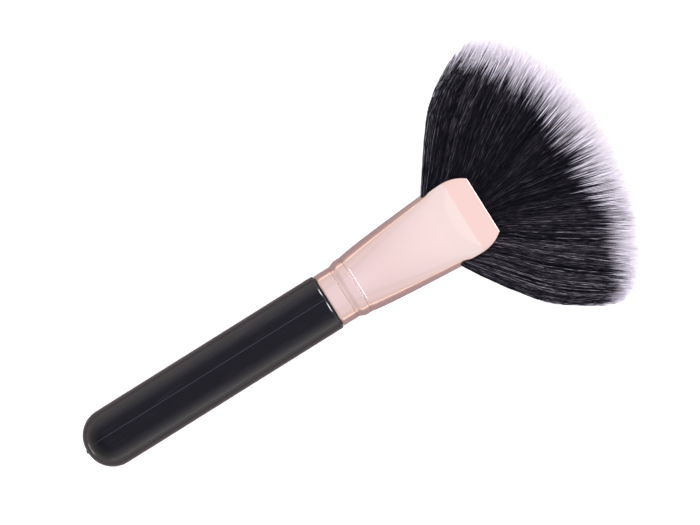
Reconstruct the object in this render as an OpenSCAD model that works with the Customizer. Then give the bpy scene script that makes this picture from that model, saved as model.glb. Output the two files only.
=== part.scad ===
// A large fan brush for face powder, lying on its side with the fan level.
// +X runs from the butt of the handle to the tips of the fibres, Y runs across
// the fan, and Z is its thickness. The origin is under the middle of the brush,
// on the surface that the brush lies on.

/* [Handle] */
// Length of the handle from its domed butt to the shoulder at the ferrule
handle_l = 77; // [60:1:110]
// Radius of the cylindrical grip
handle_r = 8.2; // [7.4:0.1:9]
// Radius of the small flat in the middle of the domed butt
butt_flat_r = 0.6; // [0.4:0.1:2]
// Rounding of the shoulder at the ferrule
shoulder_round = 0.8; // [0.2:0.1:1.2]
// Radius of the gate stub that is left on the butt
gate_r = 0.5; // [0.3:0.1:0.8]
// Height of the gate stub
gate_h = 0.4; // [0.2:0.1:0.8]
// Turn of the parting lines about the handle's axis
parting_turn = 7; // [0:1:45]
// Height of the parting line above the grip
parting_h = 0.06; // [0.03:0.01:0.12]
// Width of the parting line
parting_w = 0.2; // [0.1:0.05:0.4]
// Radius of the core hole that lightens the handle
core_r = 4.6; // [3:0.1:5]
// Plastic left between the core hole and the butt
core_end_wall = 8; // [4:0.5:20]

/* [Handle neck] */
// Length of the full-size part of the neck inside the ferrule
neck_l = 9; // [6:0.5:10]
// How much smaller the end of the neck's tapered lead-in is, on the radius
neck_lead_drop = 0.8; // [0.6:0.1:1.2]
// Film of adhesive round the neck
glue_t = 0.22; // [0.15:0.01:0.35]

/* [Ferrule] */
// Length of the ferrule from the handle's shoulder to the mouth
ferrule_l = 49.2; // [46:0.2:56]
// Thickness of the drawn aluminium
ferrule_wall = 0.45; // [0.35:0.05:0.6]
// How far the swaged tail lies inside the grip's surface
tail_step = 0.33; // [0.2:0.01:0.5]
// How far the round band stands proud of the grip
band_proud = 0.38; // [0.2:0.02:0.6]
// Place of the first rolled crease, from the shoulder
crease_1_x = 4.7; // [4:0.1:5]
// Place of the second rolled crease, from the shoulder
crease_2_x = 9; // [8.4:0.1:10]
// Length of the tongues, from the side cuts to the mouth
tongue_l = 12.9; // [12:0.1:14]
// Length of the lip that is pressed flat behind the mouth
lip_l = 6.4; // [5.4:0.1:7]
// Half the ferrule's width at the side cuts
cut_half_w = 11.13; // [10.4:0.01:12.5]
// How far the rounded outline of the tongues lies inside the sides
tongue_inset = 0.27; // [0.1:0.01:0.6]

/* [Bristles] */
// Thickness of the fibre pack where it is potted
root_t = 5.4; // [4.4:0.1:6.4]
// Fan radius, from the point that the fibres spread from
fan_r = 56.5; // [50:0.5:66]
// How far behind the side cuts the fibres seem to spread from
fan_back = 4.8; // [4:0.1:6]
// Half the angle of the fan at its tips
tip_angle = 47.5; // [36:0.5:52]
// Thickness of the fan at its tips
fan_tip_t = 14; // [10:0.5:17]
// How far the fan's corners are drawn in
corner_draw = 2.5; // [0:0.1:4]
// How uneven the tips are
tip_uneven = 1; // [0:0.1:2]
// Number of strands side by side in a row
columns = 48; // [38:1:48]

/* [Hidden] */
$fn = 96;
cut_over = 1;

// Places along the brush, measured from the shoulder
side_cut_x = ferrule_l - tongue_l;
lip_x = ferrule_l - lip_l;
fan_x = side_cut_x - fan_back;
overall_l = gate_h + handle_l + fan_x + fan_r;
tail_gap = 0.1;

// Ferrule radii and heights
tail_r = handle_r - tail_step;
band_r = handle_r + band_proud;
crease_depth = 0.15;
crease_w = 1;
band_rise_l = 1.8;
lap_inset = 0.03;
mouth_gap = 0.75;
lip_drop = 0.4;
press_drop = 0.7;
mouth_half_h = root_t / 2 + mouth_gap + ferrule_wall;
lip_half_h = mouth_half_h + lip_drop;
cut_half_h = lip_half_h + press_drop;
mouth_widen = 0.25;
mouth_half_w = cut_half_w + mouth_widen;
// Places of the ferrule's sections, as shares of its body and of its tongues
body_shares = [0, 0.035, 0.1, 0.2, 0.35, 0.5, 0.66, 0.82, 0.96];
dome_end_share = 0.5;
// Growth of the width and fall of the height along the body
flare_share = 0.72;
press_share = 0.9;
// Squareness of a section: 2 is an ellipse
round_power = 2;
cut_power = 2.7;
lip_power = 7;
ring_points = 48;
// Outline of the tongues: how far its arc's centre lies behind the lip line, how much it is
// drawn out towards the side cut, and the rounding of the inner corner there
tongue_back = 0.6;
tongue_x = lip_x - tongue_back;
tongue_r = cut_half_w - tongue_inset;
tongue_stretch = 2;
notch_r = 0.6;
notch_points = 4;
tongue_points = 12;

// Root of the fibre pack, at the ferrule's sections
root_rear_i = 4;
root_front_i = 8;
plug_rear_i = 3;
root_rear = body_x(body_shares[root_rear_i]);
root_front = body_x(body_shares[root_front_i]);
resin_cover = 1.5;
root_half_w = half_w(body_shares[root_rear_i]) - ferrule_wall - resin_cover;
plug_gap = 0.05;
binding_l = 2.5;
binding_t = 0.7;
binding_back = 1.2;
binding_round = 1;

// Neck, whose lead-in ends just short of the resin
neck_r = tail_r - ferrule_wall - glue_t;
neck_end_r = neck_r - neck_lead_drop;
resin_gap = 0.46;
neck_end = body_x(body_shares[plug_rear_i]) - resin_gap;
fit_gap = 0.02;

// Fan of strands
layers = 4;
rows_in_layer = 2;
rows = layers * rows_in_layer;
sides = 3;
bend_gap = 0.3;
bend_r = ferrule_l + bend_gap - fan_x;
// The outermost fibres run from the resin past the side walls, which they clear at the side cuts
side_clear = 0.84;
exit_half_w = cut_half_w - ferrule_wall - side_clear;
exit_turn = atan2(exit_half_w - root_half_w, side_cut_x - root_front);
exit_offset = (root_front - fan_x) * sin(exit_turn) - root_half_w * cos(exit_turn);
bend_angle = exit_turn - asin(exit_offset / bend_r);
mid_spread = 10.1;
mid_angle = tip_angle + mid_spread;
mid_place_share = 0.34;
mid_r = bend_r + mid_place_share * (fan_r - bend_r);
mid_bulge_share = 0.14;
mid_thick_share = 0.76;
squeeze_share = 0.4;
gather_power = 1.35;
bulge_power = 3;
corner_power = 6;
// Share of each spread that is even, and the power of the rest
bend_even_share = 0.35;
bend_power = 3;
mid_even_share = 0.5;
mid_power = 2;
// Share of its room that a strand fills
fill_share = 0.8;
// Steps that scatter the lengths of the strands
column_scatter_share = 0.618;
row_scatter_share = 0.377;

// Body of the ferrule: share 0 is the second crease and share 1 the side cuts
function body_x(share) = crease_2_x + (side_cut_x - crease_2_x) * share;
function half_w(share) = band_r + (cut_half_w - band_r) * pow(share, flare_share);
function half_h(share) = band_r + (cut_half_h - band_r) * pow(share, press_share);
function power(share) = round_power + (cut_power - round_power) * share;

// A section is [place, half width, half height, squareness]
function section(share) = [body_x(share), half_w(share), half_h(share), power(share)];
function joint_section() =
    [crease_2_x, band_r - crease_depth - lap_inset, band_r - crease_depth - lap_inset,
     round_power];
function tongue_section(share, half_h, power) =
    [side_cut_x + (lip_x - side_cut_x) * share, cut_half_w + mouth_widen * share, half_h, power];
body_sections = concat([joint_section()],
                       [for (i = [1:len(body_shares) - 1]) section(body_shares[i])]);
tongue_sections = [tongue_section(dome_end_share, cut_half_h, cut_power),
                   tongue_section(1, lip_half_h, lip_power),
                   [ferrule_l, mouth_half_w, mouth_half_h, lip_power]];
ferrule_sections = concat(body_sections, tongue_sections);

// One ring of points round the axis, drawn in by the given inset
function rounded(value, power) = sign(value) * pow(abs(value), 2 / power);
function ring(s, inset) =
    [for (k = [0:ring_points - 1])
        let (turn = 360 * k / ring_points)
            [s[0], (s[1] - inset) * rounded(cos(turn), s[3]),
             (s[2] - inset) * rounded(sin(turn), s[3])]];

// Triangles between ring a and ring b of a stack of rings, facing outwards
function band(a, b, n) =
    [for (k = [0:n - 1])
        let (m = (k + 1) % n)
            each [[a + k, b + m, a + m], [a + k, b + k, b + m]]];
function flip(faces) = [for (f = faces) [f[0], f[2], f[1]]];

// Tube with a wall between two stacks of rings
module shell(sections, wall) {
    count = len(sections);
    inner = count * ring_points;
    points = [for (inset = [0, wall]) each [for (s = sections) each ring(s, inset)]];
    sleeve = [for (i = [0:count - 2])
        each band(i * ring_points, (i + 1) * ring_points, ring_points)];
    lining = [for (f = flip(sleeve)) [f[0] + inner, f[1] + inner, f[2] + inner]];
    rear = band(inner, 0, ring_points);
    last = (count - 1) * ring_points;
    front = band(last, last + inner, ring_points);
    polyhedron(points, concat(sleeve, lining, rear, front));
}

// Solid through a stack of rings
module loft(sections, inset) {
    count = len(sections);
    points = concat([for (s = sections) each ring(s, inset)],
                    [[sections[0][0], 0, 0], [sections[count - 1][0], 0, 0]]);
    rear = count * ring_points;
    last = (count - 1) * ring_points;
    sleeve = [for (i = [0:count - 2])
        each band(i * ring_points, (i + 1) * ring_points, ring_points)];
    ends = [for (k = [0:ring_points - 1])
        let (m = (k + 1) % ring_points)
            each [[rear, k, m], [rear + 1, last + m, last + k]]];
    polyhedron(points, concat(sleeve, ends));
}

// Half profile in radius and length, turned about the brush's axis
module turned() {
    rotate([90, 0, 90]) rotate_extrude() children();
}

// Moves the whole brush to its frame
module placed() {
    translate([-overall_l / 2 + gate_h + handle_l, 0, band_r]) children();
}

// Grip with its domed butt and rounded shoulder, grown by the given amount
module grip_profile(grow) {
    butt_round_r = handle_r - butt_flat_r;
    intersection() {
        union() {
            translate([butt_flat_r, butt_round_r - handle_l]) circle(butt_round_r + grow);
            translate([0, -handle_l - grow]) square([butt_flat_r, butt_round_r]);
            translate([0, butt_round_r - handle_l])
                square([handle_r + grow, handle_l - butt_round_r - shoulder_round]);
            translate([0, -shoulder_round]) square([handle_r - shoulder_round, shoulder_round]);
            translate([handle_r - shoulder_round, -shoulder_round])
                circle(shoulder_round + grow);
        }
        translate([0, -handle_l - cut_over])
            square([handle_r + cut_over, handle_l + cut_over]);
    }
}

module parting_lines() {
    rotate([-parting_turn, 0, 0]) intersection() {
        turned() grip_profile(parting_h);
        translate([-handle_l - cut_over, -parting_w / 2, -handle_r - cut_over])
            cube([handle_l + cut_over - shoulder_round, parting_w, 2 * (handle_r + cut_over)]);
    }
}

module neck_profile() {
    polygon([[0, -shoulder_round], [neck_r, -shoulder_round], [neck_r, neck_l],
             [neck_end_r, neck_end], [0, neck_end]]);
}

module core_profile() {
    core_top = neck_end + cut_over;
    core_bottom = core_end_wall + core_r - handle_l;
    intersection() {
        union() {
            translate([0, core_bottom]) square([core_r, core_top - core_bottom]);
            translate([0, core_bottom]) circle(core_r);
        }
        translate([0, -handle_l]) square([core_r, handle_l + core_top]);
    }
}

module handle() {
    color("#1b1a1e") placed() {
        difference() {
            union() {
                turned() grip_profile(0);
                turned() neck_profile();
                parting_lines();
                translate([-handle_l - gate_h, 0, 0])
                    rotate([0, 90, 0]) cylinder(r = gate_r, h = gate_h + gate_r);
            }
            turned() core_profile();
        }
    }
}

// Outer outline of the ferrule's round tail as [radius, place], drawn in by the wall
function tail_outline(inset) =
    [[tail_r - inset, tail_gap],
     [tail_r - inset, crease_1_x - crease_w / 2],
     [tail_r - crease_depth - inset, crease_1_x],
     [band_r - crease_depth - inset, crease_1_x + band_rise_l - crease_w / 2],
     [band_r - inset, crease_1_x + band_rise_l],
     [band_r - inset, crease_2_x - crease_w / 2],
     [band_r - crease_depth - inset, crease_2_x]];
function backwards(list) = [for (i = [len(list) - 1:-1:0]) list[i]];

module ferrule_tail() {
    turned() polygon(concat(tail_outline(0), backwards(tail_outline(ferrule_wall))));
}

// Outline of what the side cut takes away, from the cut to the mouth
module side_cut() {
    mouth_turn = asin((ferrule_l + cut_over - tongue_x) / tongue_r);
    notch_x = side_cut_x + notch_r;
    notch_turn = -asin((tongue_x - notch_x) / (tongue_stretch * tongue_r));
    notch_y = tongue_r * cos(notch_turn) + notch_r;
    notch = [for (i = [0:notch_points])
        let (turn = 90 * i / notch_points)
            [notch_x - notch_r * cos(turn), notch_y - notch_r * sin(turn)]];
    flank = [for (i = [1:tongue_points])
        let (turn = notch_turn * (1 - i / tongue_points))
            [tongue_x + tongue_stretch * tongue_r * sin(turn), tongue_r * cos(turn)]];
    tip = [for (i = [1:tongue_points])
        let (turn = mouth_turn * i / tongue_points)
            [tongue_x + tongue_r * sin(turn), tongue_r * cos(turn)]];
    outside = mouth_half_w + cut_over;
    outline = concat(notch, flank, tip,
                     [[ferrule_l + cut_over, outside], [side_cut_x, outside]]);
    translate([0, 0, -band_r]) linear_extrude(2 * band_r) polygon(outline);
}

module ferrule() {
    color("#eec4bd") placed() {
        ferrule_tail();
        difference() {
            shell(ferrule_sections, ferrule_wall);
            side_cut();
            mirror([0, 1, 0]) side_cut();
        }
    }
}

module neck_adhesive() {
    outer = tail_outline(ferrule_wall + fit_gap);
    color("#e9dfc8") placed() turned() {
        polygon(concat(outer, [[neck_r + fit_gap, crease_2_x], [neck_r + fit_gap, tail_gap]]));
    }
}

// Pocket of the fibre roots, grown on its four sides
module root_block(rear, front, grow) {
    half_w = root_half_w + grow;
    half_t = root_t / 2 + grow;
    translate([rear, -half_w, -half_t]) cube([front - rear, 2 * half_w, 2 * half_t]);
}

module root_plug() {
    plug_sections = [for (i = [plug_rear_i:root_front_i]) section(body_shares[i])];
    binding_rear = root_rear + binding_back;
    color("#d9c9a0") placed() difference() {
        loft(plug_sections, ferrule_wall + plug_gap);
        root_block(root_rear, root_front + cut_over, 0);
        root_block(binding_rear, binding_rear + binding_l, binding_t + plug_gap);
    }
}

module root_binding() {
    rear = root_rear + binding_back + plug_gap;
    length = binding_l - 2 * plug_gap;
    half_w = root_half_w + binding_t - binding_round;
    half_t = root_t / 2 + binding_t - binding_round;
    color("#8d8578") placed() difference() {
        translate([rear, 0, 0]) rotate([90, 0, 90]) linear_extrude(length) union() {
            for (y = [-half_w, half_w], z = [-half_t, half_t])
                translate([y, z]) circle(binding_round);
            square([2 * half_w, 2 * (half_t + binding_round)], center = true);
            square([2 * (half_w + binding_round), 2 * half_t], center = true);
        }
        root_block(rear - cut_over, rear + length + cut_over, plug_gap);
    }
}

// Spread of the fan: u runs from -1 to 1 across it, and the fibres gather at its corners
function gather(u) = 1 - pow(1 - min(abs(u), 1), gather_power);
function blend(share, even_share, power) =
    even_share * share + (1 - even_share) * pow(share, power);
function turn_at(station, u) =
    let (g = gather(u))
        sign(u) * (station == 0 ? bend_angle * blend(g, bend_even_share, bend_power) :
                   station == 1 ? mid_angle * blend(g, mid_even_share, mid_power) :
                   tip_angle * g);
function reach_at(station, u, uneven) =
    let (g = gather(u))
        station == 0 ? bend_r :
        station == 1 ? mid_r + mid_bulge_share * fan_r * pow(g, bulge_power) :
        fan_r - corner_draw * pow(g, corner_power) - uneven;
function height_at(station, u) =
    station == 0 ? root_t / 2 * (1 - squeeze_share * gather(u)) :
    station == 1 ? fan_tip_t / 2 * mid_thick_share :
    fan_tip_t / 2;

column_step = 2 / columns;
function column_u(i) = (i + 0.5) * column_step - 1;
function row_v(k) = (2 * k + 1) / rows - 1;
// Each row is set over by its own part of a step, the same way on both faces
function stagger(k) =
    k < rows / 2 ? (2 * k + 0.5) / rows - 0.5 : -stagger(rows - 1 - k);
function uneven_at(i, k) =
    let (a = abs(i - (columns - 1) / 2), b = min(k, rows - 1 - k),
         mix = a * column_scatter_share + b * row_scatter_share)
        tip_uneven * (mix - floor(mix));

// Radius of a strand that fills its share of the room between its neighbours
function strand_r(station, u) =
    let (beside = reach_at(station, u, 0) * PI / 180
             * (turn_at(station, abs(u) + column_step) - turn_at(station, abs(u))),
         inner = turn_at(station, column_step) * reach_at(station, 0, 0) * PI / 180,
         over = 2 * height_at(station, u) / rows)
        fill_share * min(max(beside, inner) / sqrt(3), over / 1.5);
function triangle(centre, turn, r) =
    [for (corner = [90, 210, 330])
        centre + [-sin(turn) * r * cos(corner), cos(turn) * r * cos(corner), r * sin(corner)]];
function strand_ring(station, u, v) =
    let (turn = turn_at(station, u), reach = reach_at(station, u, 0))
        triangle([fan_x + reach * cos(turn), reach * sin(turn), v * height_at(station, u)],
                 turn, strand_r(station, u));
function strand_points(i, k) =
    let (v = row_v(k), root_step = 2 * root_half_w / columns, u = column_u(i),
         fan_u = (u + stagger(k) * column_step) * (columns - 1) / columns,
         turn = turn_at(2, fan_u), reach = reach_at(2, fan_u, uneven_at(i, k)))
        concat(triangle([root_front, u * root_half_w, v * root_t / 2], 0,
                        fill_share * root_step / sqrt(3)),
               strand_ring(0, fan_u, v),
               strand_ring(1, fan_u, v),
               [[fan_x + reach * cos(turn), reach * sin(turn), v * height_at(2, fan_u)]]);

// Faces of a strand that starts at point p, listed anticlockwise from outside
function strand_faces(p) =
    concat([for (s = [0:1], k = [0:sides - 1])
        let (a = p + s * sides + k, b = p + s * sides + (k + 1) % sides)
            each [[a, b, a + sides], [b, b + sides, a + sides]]],
           [for (k = [0:sides - 1])
        [p + 2 * sides + k, p + 2 * sides + (k + 1) % sides, p + 3 * sides]]);
// Faces of the backing round the foot of a strand, from its cell's corners q
function foot_faces(q, p) =
    [[q[0], q[1], p + 2], [q[0], p + 2, p + 1], [q[1], q[2], p + 2], [q[2], p, p + 2],
     [q[2], q[3], p], [q[3], q[0], p + 1], [q[3], p + 1, p]];

// One layer of the pack: a slice of potted roots with its strands grown from it
module bristle_layer(layer) {
    first = layer * rows_in_layer;
    z = [for (k = [0:rows_in_layer]) ((first + k) * 2 / rows - 1) * root_t / 2];
    y = [for (i = [0:columns]) (i * column_step - 1) * root_half_w];
    back = [[root_rear, y[0], z[0]], [root_rear, y[columns], z[0]],
            [root_rear, y[columns], z[rows_in_layer]], [root_rear, y[0], z[rows_in_layer]]];
    grid = [for (k = [0:rows_in_layer], i = [0:columns]) [root_front, y[i], z[k]]];
    strands = [for (k = [0:rows_in_layer - 1], i = [0:columns - 1])
        each strand_points(i, first + k)];
    g = function(i, k) 4 + k * (columns + 1) + i;
    p = function(i, k) 4 + len(grid) + (k * columns + i) * (3 * sides + 1);
    n = columns;
    m = rows_in_layer;
    flanks = concat(
        [for (i = [0:n - 1]) each [[0, g(i + 1, 0), g(i, 0)], [3, g(i, m), g(i + 1, m)]]],
        [for (k = [0:m - 1]) each [[0, g(0, k), g(0, k + 1)], [1, g(n, k + 1), g(n, k)]]],
        [[0, 1, g(n, 0)], [3, g(n, m), 2], [0, g(0, m), 3], [1, 2, g(n, m)],
         [0, 3, 2], [0, 2, 1]]);
    tufts = [for (k = [0:m - 1], i = [0:n - 1])
        each concat(foot_faces([g(i, k), g(i + 1, k), g(i + 1, k + 1), g(i, k + 1)], p(i, k)),
                    strand_faces(p(i, k)))];
    polyhedron(concat(back, grid, strands), flip(concat(flanks, tufts)));
}

module bristles_top() {
    color("#2b292f") placed() bristle_layer(3);
}

module bristles_upper() {
    color("#201f26") placed() bristle_layer(2);
}

module bristles_lower() {
    color("#201f26") placed() bristle_layer(1);
}

module bristles_bottom() {
    color("#2b292f") placed() bristle_layer(0);
}

handle();
ferrule();
neck_adhesive();
root_plug();
root_binding();
bristles_top();
bristles_upper();
bristles_lower();
bristles_bottom();
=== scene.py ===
# Large fan brush for face powder: black ABS handle, rose gold anodised ferrule, two-tone fibre fan
import math
from functools import lru_cache
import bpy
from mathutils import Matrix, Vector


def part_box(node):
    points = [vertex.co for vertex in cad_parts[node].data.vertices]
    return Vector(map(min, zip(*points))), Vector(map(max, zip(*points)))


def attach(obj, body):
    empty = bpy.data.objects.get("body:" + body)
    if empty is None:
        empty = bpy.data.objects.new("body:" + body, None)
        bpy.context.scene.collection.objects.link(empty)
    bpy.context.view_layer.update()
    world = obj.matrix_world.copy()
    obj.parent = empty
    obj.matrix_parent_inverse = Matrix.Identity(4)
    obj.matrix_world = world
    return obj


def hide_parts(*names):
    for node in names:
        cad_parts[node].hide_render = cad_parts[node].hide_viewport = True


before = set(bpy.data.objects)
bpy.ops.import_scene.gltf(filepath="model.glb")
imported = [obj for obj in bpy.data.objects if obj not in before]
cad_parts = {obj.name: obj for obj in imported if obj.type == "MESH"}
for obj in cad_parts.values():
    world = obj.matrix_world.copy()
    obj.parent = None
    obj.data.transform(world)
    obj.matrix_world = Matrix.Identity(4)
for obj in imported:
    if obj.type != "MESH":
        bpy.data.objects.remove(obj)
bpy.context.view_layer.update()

from types import SimpleNamespace

import bmesh
import bpy
import numpy as np
from mathutils import Matrix, Vector
from mathutils.geometry import interpolate_bezier

mm = 0.001


# the frame: the brush lies along X, its axis over the floor's centre line

tailGap = 0.1           # mm from the handle's shoulder to the ferrule's tail
handleLow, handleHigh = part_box("handle")
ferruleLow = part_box("ferrule")[0]
shoulderX = ferruleLow[0] - tailGap * mm
axisZ = (handleLow[2] + handleHigh[2]) / 2


def alongX(x):
    # a place in mm from the handle's shoulder, as the frame's X
    return shoulderX + x * mm


def fromShoulder(x, y, z):
    # a place in mm from the handle's shoulder, on the brush's axis, to metres in the frame
    return Vector((alongX(x), y * mm, axisZ + z * mm))


def lerp(a, b, share):
    return a + (b - a) * share


def smooth(share):
    share = min(max(share, 0.0), 1.0)
    return share * share * (3 - 2 * share)


def toMesh(name, bm):
    mesh = bpy.data.meshes.new(name)
    bm.to_mesh(mesh)
    bm.free()
    return mesh


def addObject(name, data):
    obj = bpy.data.objects.new(name, data)
    bpy.context.scene.collection.objects.link(obj)
    return obj


def dressPiece(name, mesh, nodes, material):
    # a piece of the brush: smooth, in its material, riding on the body in place of its nodes
    piece = addObject(name, mesh)
    mesh.materials.append(material)
    for face in mesh.polygons:
        face.use_smooth = True
    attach(piece, "root")
    if nodes:
        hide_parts(*nodes)
    return piece


# materials

fromColour, toColour, mixed = 6, 7, 2       # a Mix node's two colour sockets and its colour output


def srgb(code):
    # sRGB hex to linear
    parts = [int(code[i:i + 2], 16) / 255 for i in (1, 3, 5)]
    return [c / 12.92 if c <= 0.04045 else ((c + 0.055) / 1.055) ** 2.4 for c in parts] + [1.0]


def scaleFor(size):
    # a pattern's scale, from the size of its features in mm
    return 1000 / size


def addNode(tree, kind, links=None, values=None, **settings):
    # adds a node, sets its properties, gives sockets their values and links sockets to outputs
    node = tree.nodes.new(kind)
    for key, value in settings.items():
        if hasattr(node, key):
            setattr(node, key, value)
        else:
            node.inputs[key.replace("_", " ")].default_value = value
    for key, value in (values or {}).items():
        node.inputs[key].default_value = value
    for key, source in (links or {}).items():
        tree.links.new(source, node.inputs[key])
    return node


def newMaterial(name):
    material = bpy.data.materials.new(name)
    material.use_nodes = True
    tree = material.node_tree
    tree.nodes.clear()
    return material, tree


def finishMaterial(tree, shader):
    addNode(tree, "ShaderNodeOutputMaterial", {"Surface": shader.outputs["BSDF"]})


def recoat(node, material):
    # gives a CAD node a better material, in its own slots
    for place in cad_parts[node].material_slots:
        place.material = material


absLook = {
    "colour": "#0c0b0f", "dust": "#1a191d",
    "roughness": 0.12, "roughnessWorn": 0.2, "ior": 1.54,
    "moulding": 4.0,        # mm between the faint sink waves of the moulding
    "mouldingDepth": 0.05, "mouldingStrength": 0.05,
    "scratch": 0.35,        # mm between hairline scratches, drawn as coarse as they show
    "scratchStretch": 0.03, "scratchDepth": 0.01, "scratchStrength": 0.06,
    "dustFrom": 0.62, "dustTo": 0.75,       # how strong a scratch is where dust starts to show
    "parting": "#2a2830", "partingTurn": 7.0, "partingWidth": 0.12, "partingCoreShare": 0.4,
}


def blackAbs():
    # injection-moulded ABS, gloss black: mirror-like, with faint waves and hairline scratches
    look = absLook
    material, tree = newMaterial("glossBlackAbs")
    place = addNode(tree, "ShaderNodeTexCoord").outputs["Object"]
    waves = addNode(tree, "ShaderNodeTexNoise", {"Vector": place},
                    Scale=scaleFor(look["moulding"]), Detail=2.0, Roughness=0.4).outputs["Fac"]
    along = addNode(tree, "ShaderNodeMapping", {"Vector": place},
                    Scale=(look["scratchStretch"], 1.0, 1.0)).outputs["Vector"]
    hairlines = addNode(tree, "ShaderNodeTexNoise", {"Vector": along},
                        Scale=scaleFor(look["scratch"]), Detail=1.0, Roughness=0.6).outputs["Fac"]
    dusty = addNode(tree, "ShaderNodeMapRange", {"Value": hairlines},
                    From_Min=look["dustFrom"], From_Max=look["dustTo"]).outputs["Result"]
    colour = addNode(tree, "ShaderNodeMix", {"Factor": dusty},
                     {fromColour: srgb(look["colour"]), toColour: srgb(look["dust"])},
                     data_type="RGBA").outputs[mixed]
    # the mould's parting plane holds the axis: its two lines are a little duller and paler
    turned = addNode(tree, "ShaderNodeMapping", {"Vector": place}, vector_type="TEXTURE",
                     Location=(0, 0, axisZ), Rotation=(-math.radians(look["partingTurn"]), 0, 0))
    across = addNode(tree, "ShaderNodeSeparateXYZ", {"Vector": turned.outputs["Vector"]})
    away = addNode(tree, "ShaderNodeMath", {0: across.outputs["Y"]}, operation="ABSOLUTE")
    line = addNode(tree, "ShaderNodeMapRange", {"Value": away.outputs["Value"]},
                   From_Min=look["partingWidth"] * mm,
                   From_Max=look["partingCoreShare"] * look["partingWidth"] * mm).outputs["Result"]
    lined = addNode(tree, "ShaderNodeMix", {"Factor": line, fromColour: colour},
                    {toColour: srgb(look["parting"])}, data_type="RGBA").outputs[mixed]
    roughness = addNode(tree, "ShaderNodeMapRange", {"Value": waves},
                        To_Min=look["roughness"], To_Max=look["roughnessWorn"]).outputs["Result"]
    bump = addNode(tree, "ShaderNodeBump", {"Height": waves},
                   Strength=look["mouldingStrength"], Distance=look["mouldingDepth"] * mm)
    fine = addNode(tree, "ShaderNodeBump", {"Height": hairlines, "Normal": bump.outputs["Normal"]},
                   Strength=look["scratchStrength"], Distance=look["scratchDepth"] * mm)
    shader = addNode(tree, "ShaderNodeBsdfPrincipled",
                     {"Base Color": lined, "Roughness": roughness, "Normal": fine.outputs["Normal"]},
                     IOR=look["ior"])
    finishMaterial(tree, shader)
    return material


anodisedLook = {
    "colour": "#f8e1d9", "deep": "#eed2cd", "lip": "#f9d6cc",
    "roughness": 0.19, "roughnessHigh": 0.23,
    "drawing": 0.25,        # mm between the faint drawing lines that run along the tube
    "drawingStretch": 0.04, "drawingDepth": 0.01, "drawingStrength": 0.08,
    "cloud": 6.0,           # mm across the faint clouds in the dye
    "cloudShare": 0.15, "deepShare": 0.85,
    "paleFrom": 18.0, "paleTo": 38.0,       # mm from the shoulder over which the dye pales
    "lipFrom": 42.6, "lipTo": 43.0,         # where it turns to the lip's warmer tone, painted light for the warmer light the lip catches
    "crease": "#e3c5bd", "shadedCreases": 2,  # painted shade: a darker line in the deep creases, next to the tail
    "creaseWidth": 0.14, "creaseCore": 0.02,
}


def roseAnodised():
    # drawn aluminium, polished and anodised rose gold: clean reflections, faint drawing lines, painted
    # shade in the deep creases and a painted warmer light on the lip
    look = anodisedLook
    material, tree = newMaterial("roseAnodisedAluminium")
    place = addNode(tree, "ShaderNodeTexCoord").outputs["Object"]
    stretched = addNode(tree, "ShaderNodeMapping", {"Vector": place},
                        Scale=(look["drawingStretch"], 1.0, 1.0)).outputs["Vector"]
    lines = addNode(tree, "ShaderNodeTexNoise", {"Vector": stretched},
                    Scale=scaleFor(look["drawing"]), Detail=2.0, Roughness=0.5).outputs["Fac"]
    clouds = addNode(tree, "ShaderNodeTexNoise", {"Vector": place},
                     Scale=scaleFor(look["cloud"]), Detail=2.0, Roughness=0.5).outputs["Fac"]
    along = addNode(tree, "ShaderNodeSeparateXYZ", {"Vector": place}).outputs["X"]
    depth = addNode(tree, "ShaderNodeMapRange", {"Value": along}, From_Min=alongX(look["paleTo"]),
                    From_Max=alongX(look["paleFrom"]), To_Max=look["deepShare"]).outputs["Result"]
    dye = addNode(tree, "ShaderNodeMath", {0: clouds, 2: depth}, {1: look["cloudShare"]},
                  operation="MULTIPLY_ADD", use_clamp=True).outputs["Value"]
    body = addNode(tree, "ShaderNodeMix", {"Factor": dye},
                   {fromColour: srgb(look["colour"]), toColour: srgb(look["deep"])},
                   data_type="RGBA").outputs[mixed]
    # painted light: the lip turns to a warmer tone
    lip = addNode(tree, "ShaderNodeMapRange", {"Value": along}, From_Min=alongX(look["lipFrom"]),
                  From_Max=alongX(look["lipTo"])).outputs["Result"]
    colour = addNode(tree, "ShaderNodeMix", {"Factor": lip, fromColour: body},
                     {toColour: srgb(look["lip"])}, data_type="RGBA").outputs[mixed]
    # painted shade: a darker line along each deep crease
    for crease, _, _ in ferruleSizes["creases"][:look["shadedCreases"]]:
        away = addNode(tree, "ShaderNodeMath", {0: along}, {1: alongX(crease)}, operation="SUBTRACT")
        near = addNode(tree, "ShaderNodeMath", {0: away.outputs["Value"]}, operation="ABSOLUTE")
        line = addNode(tree, "ShaderNodeMapRange", {"Value": near.outputs["Value"]},
                       From_Min=look["creaseWidth"] * mm, From_Max=look["creaseCore"] * mm)
        colour = addNode(tree, "ShaderNodeMix", {"Factor": line.outputs["Result"], fromColour: colour},
                         {toColour: srgb(look["crease"])}, data_type="RGBA").outputs[mixed]
    roughness = addNode(tree, "ShaderNodeMapRange", {"Value": lines},
                        To_Min=look["roughness"], To_Max=look["roughnessHigh"]).outputs["Result"]
    bump = addNode(tree, "ShaderNodeBump", {"Height": lines},
                   Strength=look["drawingStrength"], Distance=look["drawingDepth"] * mm)
    shader = addNode(tree, "ShaderNodeBsdfPrincipled",
                     {"Base Color": colour, "Roughness": roughness, "Normal": bump.outputs["Normal"]},
                     Metallic=1.0)
    finishMaterial(tree, shader)
    return material


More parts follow.
